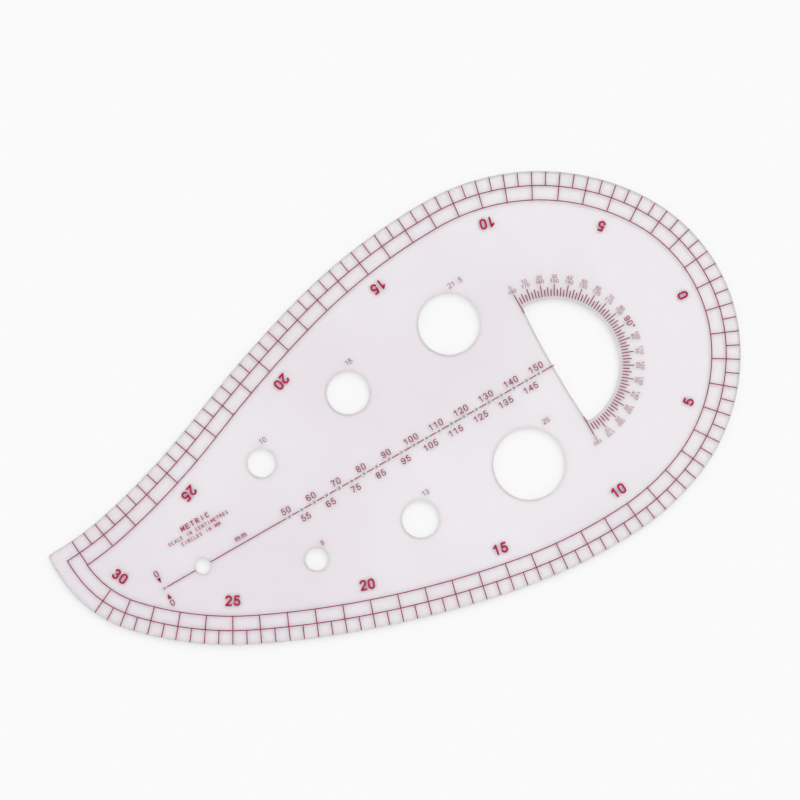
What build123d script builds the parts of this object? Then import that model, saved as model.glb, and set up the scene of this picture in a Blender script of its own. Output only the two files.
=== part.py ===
from build123d import *
import os
from math import acos, atan2, ceil, copysign, cos, degrees, hypot, pi, radians, sin, sqrt

# A flat french curve: one sheet of clear plastic, printed on its upper face in a single colour.
# Drawn with the compass pivot at the origin, +X along the compass line towards the round end, +Z up.

# ---- the sheet ----
SHEET_THICKNESS = 1.5
TIP = (-29.3, 29.9)             # the pointed end, where the rim starts, heading along +X
TIP_ROUNDING = 0.8
# The rim, clockwise from the tip, as arcs that run into one another: (radius, turn in degrees).
# A positive turn bends the rim to the left. One last arc closes it along the flank to the tip.
RIM_ARCS = [
    (115, 12.5),
    (260, 10.0),
    (475, -6.0),
    (210, -16.5),
    (80, -57.5),
    (61, -59.0),
    (68, -41.5),
    (88, -18.5),
    (185, -13.5),
    (355, -15.5),
    (120, -21.5),
    (43, -35.5),
]

# ---- holes through the sheet ----
HANGING_HOLE_X = 15.5
HANGING_HOLE_DIAMETER = 5.5
PENCIL_HOLE_DIAMETER = 1.0
COMPASS_FIRST = 50              # the first and last pencil holes, as radii from the pivot
COMPASS_LAST = 150
COMPASS_STEP = 5
# Circle guides: (diameter, centre x, centre y, label offset x, label offset y)
CIRCLE_GUIDES = [
    (8, 51.0, -17.5, 4.5, 4.0),
    (10, 51.0, 21.0, 4.1, 6.6),
    (13, 89.2, -23.4, 6.0, 7.1),
    (15, 89.2, 27.2, 5.4, 9.2),
    (21.5, 131.5, 30.5, 8.8, 11.4),
    (25, 131.5, -25.5, 12.4, 10.15),
]

# ---- protractor ----
PROTRACTOR_X = 156.0            # its centre lies on the compass line
OPENING_FLAT_X = 156.2          # the straight side of the D-shaped opening
OPENING_RADIUS = 22.9
OPENING_CORNER = 1.5
ANGLE_STEP = 2.5
ANGLE_TICK_START = 23.9
ANGLE_TICK_ENDS = {2.5: 26.3, 5.0: 27.1, 10.0: 28.0}
BASE_MARK_START = 20.8
OUTER_ROW_RADIUS = 30.8
INNER_ROW_RADIUS = 29.2
RIGHT_ANGLE_RADIUS = 30.1
RIGHT_ANGLE_SHIFT = 0.4         # the degree sign moves the figures off the middle

# ---- centimetre scales along the rim ----
ZERO_AT = 299.5                 # distance along the rim from the tip to the shared zero
UPPER_SCALE_LENGTH = 290        # from zero back towards the tip
LOWER_SCALE_LENGTH = 300        # from zero on round the lower side
HALF_CENTIMETRE = 5
CENTIMETRE = 10
NUMERAL_EVERY = 50
NUMERAL_DEPTH = 15.4            # from the rim to the middle of a numeral

# ---- print ----
INK_THICKNESS = 0.03
LINE_WIDTH = 0.34
LINE_EVENNESS = 0.01            # how far a rim line may stray from the chords of its short arcs
TICK_START = 0.2                # ticks stop just inside the sheet's cut edge
TICK_CLEARANCE = 0.005          # keeps ticks just clear of the lines that they meet
COMPASS_GAP = 1.1               # the compass line stops this far from a pencil hole
HANGING_GAP = 3.0
ZERO_MARK_GAP = 2.1             # from the compass line to an arrowhead's point
ARROW_LENGTH = 2.0
ARROW_WIDTH = 1.4
ZERO_NUMERAL_Y = 5.7

# Lettering styles: (height, stroke width, distance from one character to the next)
EDGE_STYLE = (3.8, 0.70, 2.85)
COMPASS_STYLE = (2.3, 0.30, 1.95)
RIGHT_ANGLE_STYLE = (2.2, 0.30, 1.85)
GUIDE_STYLE = (1.85, 0.18, 1.40)
PROTRACTOR_STYLE = (1.3, 0.14, 1.08)
HEADING_STYLE = (1.9, 0.36, 1.95)
CAPTION_STYLE = (1.3, 0.20, 1.20)
UNIT_STYLE = (2.2, 0.28, 2.55)
TENS_Y = 2.4
FIVES_Y = -2.9
UNIT_PLACE = (31.9, 2.6)
# A generic caption: (text, style, x, y)
CAPTION_LINES = [
    ("METRIC", HEADING_STYLE, 20.6, 14.8),
    ("SCALE IN CENTIMETRES", CAPTION_STYLE, 20.5, 12.2),
    ("CIRCLES IN MM", CAPTION_STYLE, 20.4, 10.1),
]

# ---- characters, drawn as pen strokes on a cell one unit high ----
CELL = 0.56                     # width of a figure or of a round letter
BOWL = CELL / 2
WIDE = 0.60                     # width of a square letter
HUMP = 0.2                      # radius of the two humps of an m
HUMP_Y = 0.42                   # height of their centres


def polar(centre_x, centre_y, radius, angle):
    return (centre_x + radius * cos(radians(angle)), centre_y + radius * sin(radians(angle)))


def path(*points):
    return [Polyline(*points)] if len(points) > 2 else [Line(*points)]


def arc(centre_x, centre_y, radius, start, sweep):
    return [CenterArc((centre_x, centre_y), radius, start, sweep)]


def curl_stroke(turned):
    """The curl and stem of a 6, or those of a 9 when it is turned upside down."""
    stroke = arc(BOWL, 1 - BOWL, BOWL, 25, 155) + path((0, 1 - BOWL), (0, BOWL))
    return [edge.rotate(Axis((BOWL, 0.5, 0), (0, 0, 1)), 180 if turned else 0) for edge in stroke]


def hump_stroke(left):
    """One of the two humps of an m, up from its left foot and down to its right one."""
    return (
        path((left, 0), (left, HUMP_Y))
        + arc(left + HUMP, HUMP_Y, HUMP, 180, -180)
        + path((left + 2 * HUMP, HUMP_Y), (left + 2 * HUMP, 0))
    )


def character_strokes(character):
    """The pen strokes of one character. Each stroke is a list of joined lines and arcs."""
    five_start = polar(BOWL, 0.31, 0.30, 138)
    two_turn = polar(BOWL, 1 - BOWL, BOWL, -35)
    strokes = {
        "0": [
            arc(BOWL, 1 - BOWL, BOWL, 0, 180)
            + path((0, 1 - BOWL), (0, BOWL))
            + arc(BOWL, BOWL, BOWL, 180, 180)
            + path((CELL, BOWL), (CELL, 1 - BOWL))
        ],
        "1": [path((0.08, 0.76), (0.36, 1), (0.36, 0))],
        "2": [arc(BOWL, 1 - BOWL, BOWL, 170, -205) + path(two_turn, (0, 0), (CELL, 0))],
        "3": [arc(0.27, 0.76, 0.24, 165, -255), arc(0.27, 0.26, 0.26, 90, -255)],
        "4": [path((0.42, 0), (0.42, 1)), path((0.42, 1), (0, 0.28), (0.58, 0.28))],
        "5": [path((0.52, 1), (0.13, 1), five_start) + arc(BOWL, 0.31, 0.30, 138, -300)],
        "6": [curl_stroke(False), arc(BOWL, 0.29, BOWL, 0, 360)],
        "7": [path((0, 1), (CELL, 1), (0.2, 0))],
        "8": [arc(BOWL, 0.76, 0.24, 0, 360), arc(BOWL, 0.26, 0.26, 0, 360)],
        "9": [curl_stroke(True), arc(BOWL, 0.71, BOWL, 0, 360)],
        ".": [path((BOWL, 0), (BOWL, 0.03))],
        "°": [arc(0.1, 0.95, 0.12, 0, 360)],
        "A": [path((0, 0), (WIDE / 2, 1), (WIDE, 0)), path((0.12, 0.35), (0.48, 0.35))],
        "C": [
            arc(BOWL, 1 - BOWL, BOWL, 25, 155)
            + path((0, 1 - BOWL), (0, BOWL))
            + arc(BOWL, BOWL, BOWL, 180, 155)
        ],
        "E": [path((WIDE, 1), (0, 1), (0, 0), (WIDE, 0)), path((0, 0.52), (0.5, 0.52))],
        "I": [path((BOWL, 0), (BOWL, 1))],
        "L": [path((0, 1), (0, 0), (WIDE, 0))],
        "M": [path((0, 0), (0, 1), (0.35, 0.2), (0.70, 1), (0.70, 0))],
        "N": [path((0, 0), (0, 1), (WIDE, 0), (WIDE, 1))],
        "R": [
            path((0, 0), (0, 1)),
            path((0, 1), (0.32, 1)) + arc(0.32, 0.75, 0.25, 90, -180) + path((0.32, 0.5), (0, 0.5)),
            path((0.32, 0.5), (WIDE, 0)),
        ],
        "S": [arc(BOWL, 0.755, 0.245, 30, 240) + arc(BOWL, 0.255, 0.255, 90, -240)],
        "T": [path((0, 1), (WIDE, 1)), path((WIDE / 2, 0), (WIDE / 2, 1))],
        "m": [
            path((0, 0), (0, HUMP_Y + HUMP)),
            hump_stroke(0),
            hump_stroke(2 * HUMP),
        ],
    }
    return strokes[character]


def stroke_face(stroke, scale, width):
    """One pen stroke: its centre line, scaled, then widened to the pen's width with round ends."""
    wire = Wire([edge for piece in stroke for edge in piece.edges()]).scale(scale)
    if wire.is_closed:
        outer = Face(wire.offset_2d(width / 2, Kind.ARC))
        return outer - Face(wire.offset_2d(-width / 2, Kind.ARC))
    return Face(wire.offset_2d(width / 2, Kind.ARC, Side.BOTH, True))


def character_shape(character, style, made={}):
    """A character's printed face, with its cell centred on the origin. Each one is made once."""
    height, width, _ = style
    if (character, style) not in made:
        scale = height - width
        faces = [stroke_face(stroke, scale, width) for stroke in character_strokes(character)]
        shape = faces[0] if len(faces) == 1 else faces[0].fuse(*faces[1:])
        middle = 2 * HUMP if character == "m" else BOWL
        made[character, style] = Pos(-middle * scale, -scale / 2) * Sketch(shape.faces())
    return made[character, style]


def text(words, style, place):
    """The faces of a line of characters, centred on a place and read along its local X."""
    advance = style[2]
    faces = []
    for index, character in enumerate(words):
        along = (index - (len(words) - 1) / 2) * advance
        if character != " ":
            faces += (place * Pos(along, 0) * character_shape(character, style)).faces()
    return faces


# ---- the rim and places along it ----
def rim_path():
    """The rim as arcs: (start point, heading in radians, curvature, length) for each."""
    arcs = []
    x, y = TIP
    heading = 0.0
    for radius, turn in RIM_ARCS:
        curvature = copysign(1 / radius, turn)
        length = radius * radians(abs(turn))
        arcs.append(((x, y), heading, curvature, length))
        x, y, heading = step_along(x, y, heading, curvature, length)
    # the flank: the one arc that leaves at this heading and ends on the tip
    to_tip = atan2(TIP[1] - y, TIP[0] - x)
    turn = 2 * ((to_tip - heading + pi) % (2 * pi) - pi)
    chord = hypot(TIP[0] - x, TIP[1] - y)
    curvature = 2 * sin(turn / 2) / chord
    arcs.append(((x, y), heading, curvature, turn / curvature))
    return arcs


def step_along(x, y, heading, curvature, distance):
    """Where an arc leads after a distance: x, y and heading."""
    turned = heading + curvature * distance
    return (
        x + (sin(turned) - sin(heading)) / curvature,
        y - (cos(turned) - cos(heading)) / curvature,
        turned,
    )


def rim_place(distance, depth=0.0):
    """A place on the rim at a distance from the tip, moved inwards by a depth.

    Its local Y points inwards and its local X points back along the rim.
    """
    for (x, y), heading, curvature, length in rim_path():
        if distance <= length:
            break
        distance -= length
    x, y, heading = step_along(x, y, heading, curvature, distance)
    inward = heading - pi / 2
    return Pos(x + depth * cos(inward), y + depth * sin(inward)) * Rot(0, 0, degrees(heading) + 180)


def rim_circles(depth):
    """The circles that hold the rim's arcs, each moved inwards by a depth: (centre, radius)."""
    circles = []
    for (x, y), heading, curvature, _ in rim_path():
        centre = (x - sin(heading) / curvature, y + cos(heading) / curvature)
        circles.append((centre, abs(1 / curvature + depth)))
    return circles


def meeting_point(first, last):
    """Where two circles meet, on the side nearer the tip."""
    (first_x, first_y), first_radius = first
    (last_x, last_y), last_radius = last
    apart = hypot(last_x - first_x, last_y - first_y)
    across_x, across_y = (last_x - first_x) / apart, (last_y - first_y) / apart
    along = (apart**2 + first_radius**2 - last_radius**2) / (2 * apart)
    aside = sqrt(first_radius**2 - along**2)
    base_x, base_y = first_x + along * across_x, first_y + along * across_y
    points = [
        (base_x - side * aside * across_y, base_y + side * aside * across_x) for side in (1, -1)
    ]
    return min(points, key=lambda point: hypot(point[0] - TIP[0], point[1] - TIP[1]))


def arcs_between(circle, start, end, evenness):
    """The shorter arc of a circle between two of its points.

    Where an evenness is given, it comes in pieces that stray no further than that from their chords.
    """
    (centre_x, centre_y), radius = circle
    first = atan2(start[1] - centre_y, start[0] - centre_x)
    turn = (atan2(end[1] - centre_y, end[0] - centre_x) - first + pi) % (2 * pi) - pi
    pieces = ceil(abs(turn) / (2 * acos(1 - evenness / radius))) if evenness else 1
    angles = [degrees(first + turn * half / (2 * pieces)) for half in range(2 * pieces + 1)]
    points = [polar(centre_x, centre_y, radius, angle) for angle in angles]
    points[0], points[-1] = start, end
    return [ThreePointArc(*points[i : i + 3]) for i in range(0, 2 * pieces, 2)]


def rim_face(depth=0.0, evenness=None):
    """The area inside the rim, or inside a line parallel to it at a depth."""
    circles = rim_circles(depth)
    corner = meeting_point(circles[0], circles[-1])
    joints = [
        (x + depth * sin(heading), y - depth * cos(heading))
        for (x, y), heading, _, _ in rim_path()[1:]
    ]
    ends = [corner] + joints + [corner]
    edges = []
    for circle, start, end in zip(circles, ends, ends[1:]):
        edges += arcs_between(circle, start, end, evenness)
    return make_face(edges)


# ---- the sheet ----
def opening_face():
    """The D-shaped protractor opening."""
    disc = Pos(PROTRACTOR_X, 0) * Circle(OPENING_RADIUS)
    keep = Pos(OPENING_FLAT_X + OPENING_RADIUS, 0) * Rectangle(2 * OPENING_RADIUS, 3 * OPENING_RADIUS)
    opening = disc & keep
    corners = opening.vertices().sort_by(Axis.X)[:2]
    return fillet(corners, OPENING_CORNER)


def compass_radii():
    return range(COMPASS_FIRST, COMPASS_LAST + 1, COMPASS_STEP)


def curve_sheet():
    face = rim_face()
    tip = face.vertices().sort_by_distance(TIP)[0]
    face = Sketch(fillet(tip, TIP_ROUNDING).faces())
    pencil_hole = Circle(PENCIL_HOLE_DIAMETER / 2)
    holes = [opening_face(), pencil_hole]
    holes += [Pos(radius, 0) * pencil_hole for radius in compass_radii()]
    holes.append(Pos(HANGING_HOLE_X, 0) * Circle(HANGING_HOLE_DIAMETER / 2))
    for diameter, x, y, _, _ in CIRCLE_GUIDES:
        holes.append(Pos(x, y) * Circle(diameter / 2))
    for hole in holes:
        face -= hole
    return extrude(face, SHEET_THICKNESS)


# ---- print along the rim ----
def rim_line(depth):
    """A thin line all round, parallel to the rim."""
    outer = rim_face(depth - LINE_WIDTH / 2, LINE_EVENNESS)
    inner = rim_face(depth + LINE_WIDTH / 2, LINE_EVENNESS)
    return [Face(outer.face().outer_wire(), [inner.face().outer_wire()])]


def rim_tick(distance, shallow, deep):
    """A tick square to the rim, from one depth to another."""
    middle = rim_place(distance, (shallow + deep) / 2)
    return (middle * Rectangle(LINE_WIDTH, deep - shallow)).faces()


def scale_ticks(direction, length, first):
    """Half-centimetre ticks out to the outer line, and centimetre ticks out to the inner one."""
    clear = LINE_WIDTH / 2 + TICK_CLEARANCE
    faces = []
    for reading in range(first, length + 1, HALF_CENTIMETRE):
        distance = ZERO_AT + direction * reading
        faces += rim_tick(distance, TICK_START, HALF_CENTIMETRE - clear)
        if reading % CENTIMETRE == 0:
            faces += rim_tick(distance, HALF_CENTIMETRE + clear, CENTIMETRE - clear)
    return faces


def scale_numerals(direction, length, first):
    """Centimetre numerals, with their feet towards the rim."""
    faces = []
    for reading in range(first, length + 1, NUMERAL_EVERY):
        place = rim_place(ZERO_AT + direction * reading, NUMERAL_DEPTH)
        faces += text(str(reading // CENTIMETRE), EDGE_STYLE, place)
    return faces


# ---- print along the compass line ----
def compass_line():
    """The compass line, broken at every hole that it crosses."""
    breaks = [(0, COMPASS_GAP), (HANGING_HOLE_X, HANGING_GAP)]
    breaks += [(radius, COMPASS_GAP) for radius in compass_radii()]
    faces = []
    for (left, left_gap), (right, right_gap) in zip(breaks, breaks[1:]):
        faces += dash(left + left_gap, right - right_gap)
    return faces + dash(COMPASS_LAST + COMPASS_GAP, PROTRACTOR_X)


def dash(start, end):
    return (Pos((start + end) / 2, 0) * Rectangle(end - start, LINE_WIDTH)).faces()


def compass_numerals(first, y):
    faces = []
    for radius in range(first, COMPASS_LAST + 1, 2 * COMPASS_STEP):
        faces += text(str(radius), COMPASS_STYLE, Pos(radius, y))
    return faces


def zero_marks():
    """An arrowhead and a nought on each side of the pivot hole."""
    faces = []
    for side in (1, -1):
        tip = side * ZERO_MARK_GAP
        base = side * (ZERO_MARK_GAP + ARROW_LENGTH)
        corners = [(0, tip), (ARROW_WIDTH / 2, base), (-ARROW_WIDTH / 2, base)]
        faces += make_face(Polyline(*corners, close=True)).faces()
        faces += text("0", COMPASS_STYLE, Pos(0, side * ZERO_NUMERAL_Y))
    return faces


def guide_numerals():
    """The diameter beside each circle guide."""
    faces = []
    for diameter, x, y, label_x, label_y in CIRCLE_GUIDES:
        faces += text(str(diameter), GUIDE_STYLE, Pos(x + label_x, y + label_y))
    return faces


def caption():
    faces = []
    for words, style, x, y in CAPTION_LINES:
        faces += text(words, style, Pos(x, y))
    return faces


# ---- print round the protractor ----
def protractor_place(angle, radius):
    """A place round the protractor. Angles run from -90 to 90, and local Y points outwards."""
    return Pos(*polar(PROTRACTOR_X, 0, radius, angle)) * Rot(0, 0, angle - 90)


def protractor_ticks():
    faces = []
    for step in range(int(180 / ANGLE_STEP) + 1):
        angle = step * ANGLE_STEP - 90
        end = next(ANGLE_TICK_ENDS[every] for every in (10.0, 5.0, 2.5) if angle % every == 0)
        start = BASE_MARK_START if abs(angle) == 90 else ANGLE_TICK_START
        middle = protractor_place(angle, (start + end) / 2)
        faces += (middle * Rectangle(LINE_WIDTH, end - start)).faces()
    return faces


def protractor_numerals(direction, radius):
    """One row of angles in tens, all but the right angle."""
    faces = []
    for reading in range(0, 181, 10):
        if reading != 90:
            place = protractor_place(direction * (90 - reading), radius)
            faces += text(str(reading), PROTRACTOR_STYLE, place)
    return faces


def right_angle_mark():
    place = protractor_place(0, RIGHT_ANGLE_RADIUS) * Pos(RIGHT_ANGLE_SHIFT, 0)
    return text("90°", RIGHT_ANGLE_STYLE, place)


# ---- assembly ----
def ink(faces):
    """Printed faces as thin solids on the sheet's upper face."""
    upper_face = Pos(0, 0, SHEET_THICKNESS)
    return Compound([Solid.extrude(upper_face * face, (0, 0, INK_THICKNESS)) for face in faces])


def main():
    sheet = curve_sheet()
    nodes = {
        "curve_sheet": sheet,
        "outer_scale_line": ink(rim_line(HALF_CENTIMETRE)),
        "inner_scale_line": ink(rim_line(CENTIMETRE)),
        "upper_scale_ticks": ink(scale_ticks(-1, UPPER_SCALE_LENGTH, 0)),
        "lower_scale_ticks": ink(scale_ticks(1, LOWER_SCALE_LENGTH, HALF_CENTIMETRE)),
        "upper_scale_numerals": ink(scale_numerals(-1, UPPER_SCALE_LENGTH, 0)),
        "lower_scale_numerals": ink(scale_numerals(1, LOWER_SCALE_LENGTH, NUMERAL_EVERY)),
        "compass_line": ink(compass_line()),
        "compass_tens_numerals": ink(compass_numerals(COMPASS_FIRST, TENS_Y)),
        "compass_fives_numerals": ink(compass_numerals(COMPASS_FIRST + COMPASS_STEP, FIVES_Y)),
        "compass_zero_marks": ink(zero_marks()),
        "compass_unit_mark": ink(text("mm", UNIT_STYLE, Pos(*UNIT_PLACE))),
        "circle_guide_numerals": ink(guide_numerals()),
        "protractor_ticks": ink(protractor_ticks()),
        "protractor_outer_numerals": ink(protractor_numerals(1, OUTER_ROW_RADIUS)),
        "protractor_inner_numerals": ink(protractor_numerals(-1, INNER_ROW_RADIUS)),
        "right_angle_mark": ink(right_angle_mark()),
        "caption": ink(caption()),
    }
    # the origin goes to the middle of the sheet's underside
    box = sheet.bounding_box()
    to_origin = Pos(-(box.min.X + box.max.X) / 2, -(box.min.Y + box.max.Y) / 2)
    os.makedirs("parts", exist_ok=True)
    for name, shape in nodes.items():
        export_step(to_origin * shape, f"parts/{name}.step")
    print("pivot moved to", round(to_origin.position.X, 4), round(to_origin.position.Y, 4))
    print("size", round(box.size.X, 2), round(box.size.Y, 2), SHEET_THICKNESS + INK_THICKNESS)


main()
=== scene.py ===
import math

import bmesh
import bpy
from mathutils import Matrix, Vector


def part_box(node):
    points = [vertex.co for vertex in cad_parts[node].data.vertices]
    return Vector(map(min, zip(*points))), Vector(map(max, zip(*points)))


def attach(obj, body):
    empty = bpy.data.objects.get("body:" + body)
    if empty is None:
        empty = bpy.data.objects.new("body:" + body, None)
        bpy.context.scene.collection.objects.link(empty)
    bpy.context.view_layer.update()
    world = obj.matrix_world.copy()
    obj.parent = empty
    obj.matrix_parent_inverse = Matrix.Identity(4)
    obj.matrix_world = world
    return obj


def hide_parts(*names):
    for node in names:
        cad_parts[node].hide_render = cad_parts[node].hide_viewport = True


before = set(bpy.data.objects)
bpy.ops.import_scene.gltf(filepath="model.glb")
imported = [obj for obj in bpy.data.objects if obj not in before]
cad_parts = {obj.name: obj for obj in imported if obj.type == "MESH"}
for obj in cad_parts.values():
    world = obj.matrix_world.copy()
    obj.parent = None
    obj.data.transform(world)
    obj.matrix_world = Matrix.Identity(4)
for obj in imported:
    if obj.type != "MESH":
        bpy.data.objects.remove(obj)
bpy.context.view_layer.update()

# A clear, flat french curve printed in crimson, lying on a pale floor and seen from straight above.
MM = 0.001

# ---- the sheet's finish ----
EDGE_ROUNDING = 0.05 * MM       # the cut edges are barely eased
ROUNDING_STEPS = 3
OUTLINE_STEP = 0.9 * MM         # longest stretch between two points of an outline
SMALL_HOLE_TURN = 12            # degrees between two points of a small hole
PLASTIC_IOR = 1.49
INK_IOR = 1.5

# ---- the camera: straight down, turned so that the pointed end is at the lower left ----
CAMERA_ROLL = -29.83            # degrees
CAMERA_LENS = 120
VIEW_WIDTH = 277.8 * MM
VIEW_CENTRE = (7.1 * MM, 12.7 * MM)

# ---- the studio ----
SKY_HORIZON = 0.95
SKY_ZENITH = 0.99
KEY_DIRECTION = (0.60, 0.35, 0.75)
KEY_SPREAD = (0.84, 0.98)       # cosines of the angles where the soft box starts and is full
KEY_STRENGTH = 1.0
FLOOR_REACH = 12.0             # half the floor's side, in metres
FLOOR_GAP = 0.05 * MM           # from the floor up to the sheet
FLOOR_GREY = 0.87

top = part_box("curve_sheet")[1].z


# ---- outlines ----
def outlines(node):
    """The closed outlines of a flat node's upper face, each as a list of points in order."""
    solid = bmesh.new()
    solid.from_mesh(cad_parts[node].data)
    bmesh.ops.remove_doubles(solid, verts=solid.verts, dist=0.001 * MM)
    solid.normal_update()
    upper = {face for face in solid.faces if face.normal.z > 0.9}
    beside = {}
    for edge in solid.edges:
        if len(upper.intersection(edge.link_faces)) == 1:
            first, second = edge.verts
            beside.setdefault(first.index, []).append(second.index)
            beside.setdefault(second.index, []).append(first.index)
    places = {vert.index: vert.co.to_2d() for vert in solid.verts if vert.index in beside}
    solid.free()
    rings = []
    while beside:
        current = next(iter(beside))
        ring = []
        while current in beside:
            ring.append(places[current])
            following = [other for other in beside.pop(current) if other in beside]
            if not following:
                break
            current = following[0]
        rings.append(ring)
    return rings


def signed_area(ring):
    return sum(a.cross(b) for a, b in zip(ring, ring[1:] + ring[:1])) / 2


def directions(ring):
    """The direction of travel at each point, from the circle through it and its two neighbours."""
    found = []
    for before, here, after in zip(ring[-1:] + ring[:-1], ring, ring[1:] + ring[:1]):
        back, on = here - before, after - here
        found.append((back / back.length_squared + on / on.length_squared).normalized())
    return found


def smooth_outline(ring, longest):
    """The same outline as a smooth curve through its points, sampled more finely."""
    headings = directions(ring)
    fine = []
    for index, here in enumerate(ring):
        after = ring[(index + 1) % len(ring)]
        reach = (after - here).length / 3
        bend = headings[index].angle(headings[(index + 1) % len(ring)], 0.0)
        count = max(1, math.ceil(3 * reach / longest), math.ceil(math.degrees(bend) / SMALL_HOLE_TURN))
        handle_out = here + headings[index] * reach
        handle_in = after - headings[(index + 1) % len(ring)] * reach
        for step in range(count):
            t = step / count
            fine.append(
                here * (1 - t) ** 3
                + handle_out * 3 * t * (1 - t) ** 2
                + handle_in * 3 * t * t * (1 - t)
                + after * t**3
            )
    return fine


def edge_profile(thickness):
    """The cut edge from the upper face to the lower one, as (distance into the sheet, height)."""
    quarter = [math.radians(90 * step / ROUNDING_STEPS) for step in range(ROUNDING_STEPS + 1)]
    upper = [
        (EDGE_ROUNDING * (1 - math.sin(turn)), thickness - EDGE_ROUNDING * (1 - math.cos(turn)))
        for turn in quarter
    ]
    return upper + [(inset, thickness - height) for inset, height in reversed(upper)]


def rounded_sheet(name, node):
    """A node's flat sheet, built again with smooth outlines and eased edges."""
    rings = outlines(node)
    rim = max(rings, key=lambda ring: abs(signed_area(ring)))
    built = bmesh.new()
    caps = [[], []]
    profile = edge_profile(top)
    for ring in rings:
        # the sheet lies to the left of every outline
        if (signed_area(ring) > 0) != (ring is rim):
            ring = ring[::-1]
        fine = smooth_outline(ring, OUTLINE_STEP)
        inwards = [Vector((-heading.y, heading.x)) for heading in directions(fine)]
        rows = [
            [built.verts.new((*(point + into * inset), height)) for point, into in zip(fine, inwards)]
            for inset, height in profile
        ]
        for row, (upper, lower) in enumerate(zip(rows, rows[1:])):
            for i in range(len(fine)):
                j = (i + 1) % len(fine)
                face = built.faces.new((upper[i], lower[i], lower[j], upper[j]))
                face.smooth = True
                face.material_index = 1 if row == ROUNDING_STEPS else 0
        for cap, row in zip(caps, (rows[0], rows[-1])):
            cap += [built.edges.get((a, b)) for a, b in zip(row, row[1:] + row[:1])]
    for cap, facing in zip(caps, (1, -1)):
        bmesh.ops.triangle_fill(built, use_beauty=True, edges=cap, normal=(0, 0, facing))
    bmesh.ops.recalc_face_normals(built, faces=built.faces)
    mesh = bpy.data.meshes.new(name)
    built.to_mesh(mesh)
    built.free()
    piece = bpy.data.objects.new(name, mesh)
    bpy.context.scene.collection.objects.link(piece)
    return piece


# ---- materials ----
class Shader:
    """A material's node tree around its one Principled shader."""

    def __init__(self, name):
        self.material = bpy.data.materials.new(name)
        self.material.use_nodes = True
        self.tree = self.material.node_tree
        self.principled = self.tree.nodes["Principled BSDF"]
        self.place = self.tree.nodes.new("ShaderNodeTexCoord").outputs["Object"]

    def set(self, **values):
        for name, value in values.items():
            self.principled.inputs[name.replace("_", " ")].default_value = value

    def node(self, kind, inputs=None, **settings):
        made = self.tree.nodes.new(kind)
        for name, value in settings.items():
            setattr(made, name, value)
        for name, value in (inputs or {}).items():
            if isinstance(value, bpy.types.NodeSocket):
                self.tree.links.new(value, made.inputs[name])
            else:
                made.inputs[name].default_value = value
        return made

    def stretched(self, scale, turn=0.0):
        """The object's own coordinates, turned about Z and then scaled by axis."""
        turned = self.node("ShaderNodeVectorRotate", {"Vector": self.place, "Angle": math.radians(turn)})
        inputs = {0: turned.outputs[0], 1: scale}
        return self.node("ShaderNodeVectorMath", inputs, operation="MULTIPLY").outputs[0]

    def noise(self, vector, scale, detail=2.0, roughness=0.5):
        inputs = {"Vector": vector, "Scale": scale, "Detail": detail, "Roughness": roughness}
        return self.node("ShaderNodeTexNoise", inputs).outputs["Fac"]

    def ramp(self, value, *stops):
        """A value mapped through (position, colour) stops."""
        made = self.node("ShaderNodeValToRGB", {"Fac": value})
        elements = made.color_ramp.elements
        while len(elements) < len(stops):
            elements.new(0.5)
        for element, (position, colour) in zip(elements, stops):
            element.position = position
            element.color = colour if len(colour) == 4 else (*colour, 1)
        return made.outputs["Color"]

    def map(self, value, low_in, high_in, low_out, high_out):
        inputs = {
            "Value": value, "From Min": low_in, "From Max": high_in, "To Min": low_out, "To Max": high_out
        }
        return self.node("ShaderNodeMapRange", inputs).outputs[0]

    def add(self, first, second):
        return self.node("ShaderNodeMath", {0: first, 1: second}, operation="ADD").outputs[0]

    def largest(self, first, second):
        return self.node("ShaderNodeMath", {0: first, 1: second}, operation="MAXIMUM").outputs[0]

    def bump(self, height, distance, strength=1.0):
        inputs = {"Height": height, "Distance": distance, "Strength": strength}
        normal = self.node("ShaderNodeBump", inputs).outputs[0]
        self.tree.links.new(normal, self.principled.inputs["Normal"])

    def link(self, name, value):
        self.tree.links.new(value, self.principled.inputs[name])


def hairlines(shader, turn, fineness):
    """Fine straight scratches in one direction: 1 on a scratch and 0 between them."""
    lines = shader.noise(shader.stretched((9, 1500, 1), turn), fineness, 1.0)
    patches = shader.noise(shader.place, 55, 1.0)
    thin = shader.map(lines, 0.70, 0.74, 0, 1)
    here = shader.map(patches, 0.5, 0.62, 0, 1)
    return shader.node("ShaderNodeMath", {0: thin, 1: here}, operation="MULTIPLY").outputs[0]


def clear_plastic():
    """The polished faces: clear with a faint pink cast that varies at random, darker towards the pointed
    end, and worn.
    """
    shader = Shader("clear_plastic_face")
    shader.set(Transmission_Weight=1.0, IOR=PLASTIC_IOR)
    tone = shader.noise(shader.place, 14, 3.0)
    along = shader.node("ShaderNodeSeparateXYZ", {"Vector": shader.place}).outputs["X"]
    # the tone is made darker towards the pointed end
    lean = shader.map(along, -0.12, 0.12, -0.15, 0.15)
    tone = shader.add(tone, lean)
    tint = shader.ramp(tone, (0.35, (0.922, 0.890, 0.915)), (0.65, (0.947, 0.927, 0.943)))
    shader.link("Base Color", tint)
    scratches = shader.largest(hairlines(shader, 24, 1.0), hairlines(shader, -52, 1.3))
    handling = shader.map(shader.noise(shader.place, 38, 4.0, 0.6), 0.35, 0.75, 0.015, 0.055)
    scratched = shader.map(scratches, 0, 1, 0.0, 0.06)
    shader.link("Roughness", shader.add(handling, scratched))
    ripple = shader.map(shader.noise(shader.place, 26, 1.0), 0, 1, 0, 0.9)
    shader.bump(shader.add(ripple, shader.map(scratches, 0, 1, 0, -0.12)), 0.01 * MM)
    return shader.material


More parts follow.
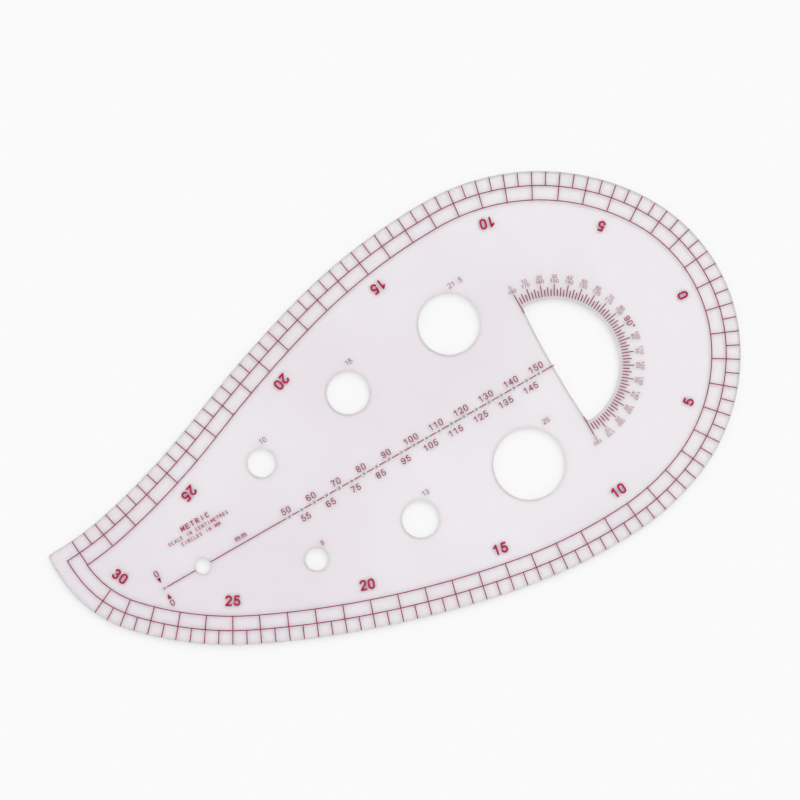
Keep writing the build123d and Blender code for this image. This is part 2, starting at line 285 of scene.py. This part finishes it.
def cut_edge():
    """The cut walls: the same plastic, frosted by the cutter and marked with fine upright lines."""
    shader = Shader("clear_plastic_cut_edge")
    shader.set(Transmission_Weight=0.15, IOR=PLASTIC_IOR)
    chatter = shader.noise(shader.stretched((2600, 2600, 60)), 1.0, 2.0)
    shader.link("Base Color", shader.ramp(chatter, (0.3, (0.96, 0.94, 0.955)), (0.7, (0.98, 0.97, 0.978))))
    shader.link("Roughness", shader.map(chatter, 0.3, 0.7, 0.03, 0.12))
    shader.bump(chatter, 0.003 * MM)
    return shader.material


def printed_ink(name, dark, bright):
    """A thin screen-printed film: slightly uneven in colour and sheen, with a fine pebble."""
    shader = Shader(name)
    shader.set(IOR=INK_IOR, Specular_IOR_Level=0.15)
    grain = shader.noise(shader.place, 900, 3.0)
    shader.link("Base Color", shader.ramp(grain, (0.32, dark), (0.68, bright)))
    shader.link("Roughness", shader.map(grain, 0.3, 0.7, 0.34, 0.5))
    shader.bump(shader.noise(shader.place, 5200, 2.0), 0.003 * MM)
    return shader.material


def dress(node, material):
    """Gives a CAD node's object a better material, and leaves its mesh alone."""
    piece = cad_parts[node]
    for material_slot in piece.material_slots:
        material_slot.link = "OBJECT"
        material_slot.material = material


# ---- the object ----
sheet = rounded_sheet("clear_sheet", "curve_sheet")
sheet.data.materials.append(clear_plastic())
sheet.data.materials.append(cut_edge())
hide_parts("curve_sheet")
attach(sheet, "root")

# the fine strokes are given a darker ink than the broad ones
fine_ink = printed_ink("crimson_ink_fine", (0.27, 0.0010, 0.052), (0.33, 0.0020, 0.070))
full_ink = printed_ink("crimson_ink_full", (0.39, 0.0020, 0.054), (0.46, 0.0040, 0.074))
BROAD = {"upper_scale_numerals", "lower_scale_numerals", "caption"}
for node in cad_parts:
    if node != "curve_sheet":
        dress(node, full_ink if node in BROAD else fine_ink)


# ---- floor ----
def pale_floor():
    mesh = bpy.data.meshes.new("floor")
    reach = FLOOR_REACH
    corners = [(-reach, -reach, 0), (reach, -reach, 0), (reach, reach, 0), (-reach, reach, 0)]
    mesh.from_pydata(corners, [], [(0, 1, 2, 3)])
    floor = bpy.data.objects.new("floor", mesh)
    floor.location.z = -FLOOR_GAP
    bpy.context.scene.collection.objects.link(floor)
    shader = Shader("floor")
    shader.set(Base_Color=(FLOOR_GREY, FLOOR_GREY, FLOOR_GREY, 1), Roughness=1.0, Specular_IOR_Level=0.0)
    mesh.materials.append(shader.material)
    return floor


pale_floor()


# ---- light ----
def studio_sky():
    """Soft light from all round, with one broad soft box high on the side of the round end."""
    world = bpy.data.worlds.new("studio")
    world.use_nodes = True
    tree = world.node_tree
    place = tree.nodes.new("ShaderNodeTexCoord").outputs["Generated"]

    def facing(direction, low_in, high_in, low_out, high_out):
        """A smooth change in brightness between two cosines of the angle to a direction."""
        dot = tree.nodes.new("ShaderNodeVectorMath")
        dot.operation = "DOT_PRODUCT"
        dot.inputs[1].default_value = Vector(direction).normalized()
        tree.links.new(place, dot.inputs[0])
        change = tree.nodes.new("ShaderNodeMapRange")
        change.interpolation_type = "SMOOTHSTEP"
        tree.links.new(dot.outputs["Value"], change.inputs["Value"])
        for socket, value in zip(change.inputs[1:5], (low_in, high_in, low_out, high_out)):
            socket.default_value = value
        return change.outputs[0]

    total = tree.nodes.new("ShaderNodeMath")
    total.operation = "ADD"
    tree.links.new(facing((0, 0, 1), 0.2, 0.95, SKY_HORIZON, SKY_ZENITH), total.inputs[0])
    tree.links.new(facing(KEY_DIRECTION, *KEY_SPREAD, 0, KEY_STRENGTH), total.inputs[1])
    tree.links.new(total.outputs[0], tree.nodes["Background"].inputs["Strength"])
    tree.nodes["Background"].inputs["Color"].default_value = (1, 1, 1, 1)
    bpy.context.scene.world = world


studio_sky()

# ---- camera ----
scene = bpy.context.scene
lens = bpy.data.cameras.new("camera")
lens.lens = CAMERA_LENS
distance = VIEW_WIDTH * lens.lens / lens.sensor_width
camera = bpy.data.objects.new("camera", lens)
camera.location = (*VIEW_CENTRE, top + distance)
camera.rotation_euler = (0, 0, math.radians(CAMERA_ROLL))
lens.clip_end = 30
scene.collection.objects.link(camera)
scene.camera = camera
# light that reaches the floor through the sheet isn't blurred on its way
scene.cycles.blur_glossy = 0.0
scene.view_settings.view_transform = "Standard"
scene.view_settings.look = "None"
